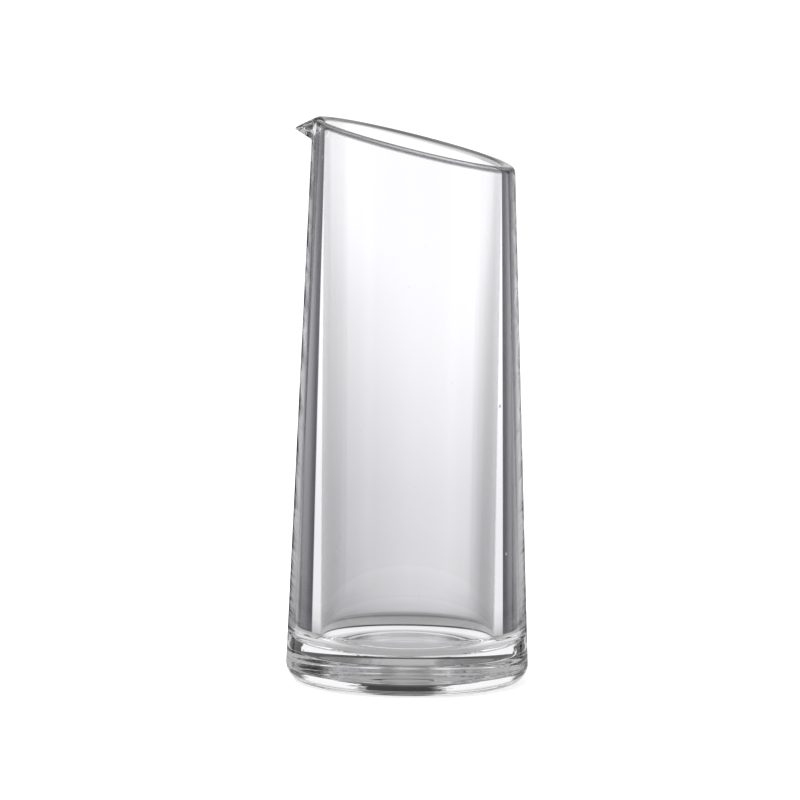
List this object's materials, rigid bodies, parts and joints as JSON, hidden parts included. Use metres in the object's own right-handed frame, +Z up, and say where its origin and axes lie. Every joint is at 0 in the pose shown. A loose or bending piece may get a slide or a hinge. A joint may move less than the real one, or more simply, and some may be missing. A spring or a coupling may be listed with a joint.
{
  "type": "liquor decanter",
  "caption": "Tapered clear glass liquor decanter with a thick solid foot, a slanted open mouth and a small pour beak on the high side of the rim.",
  "frame": {"origin": "centre of the flat underside, on the axis of the body", "axes": "+Z up along the axis of the body; -X towards the pour beak, on the high side of the slanted rim; the body is alike on both sides of the XZ plane"},
  "size_m": [0.06, 0.06, 0.1397],
  "materials": {
    "clear_glass": "clear, fire-polished"
  },
  "bodies": {
    "root": {"foot": "clear_glass", "body_wall": "clear_glass", "pour_beak": "clear_glass"}
  },
  "joints": []
}
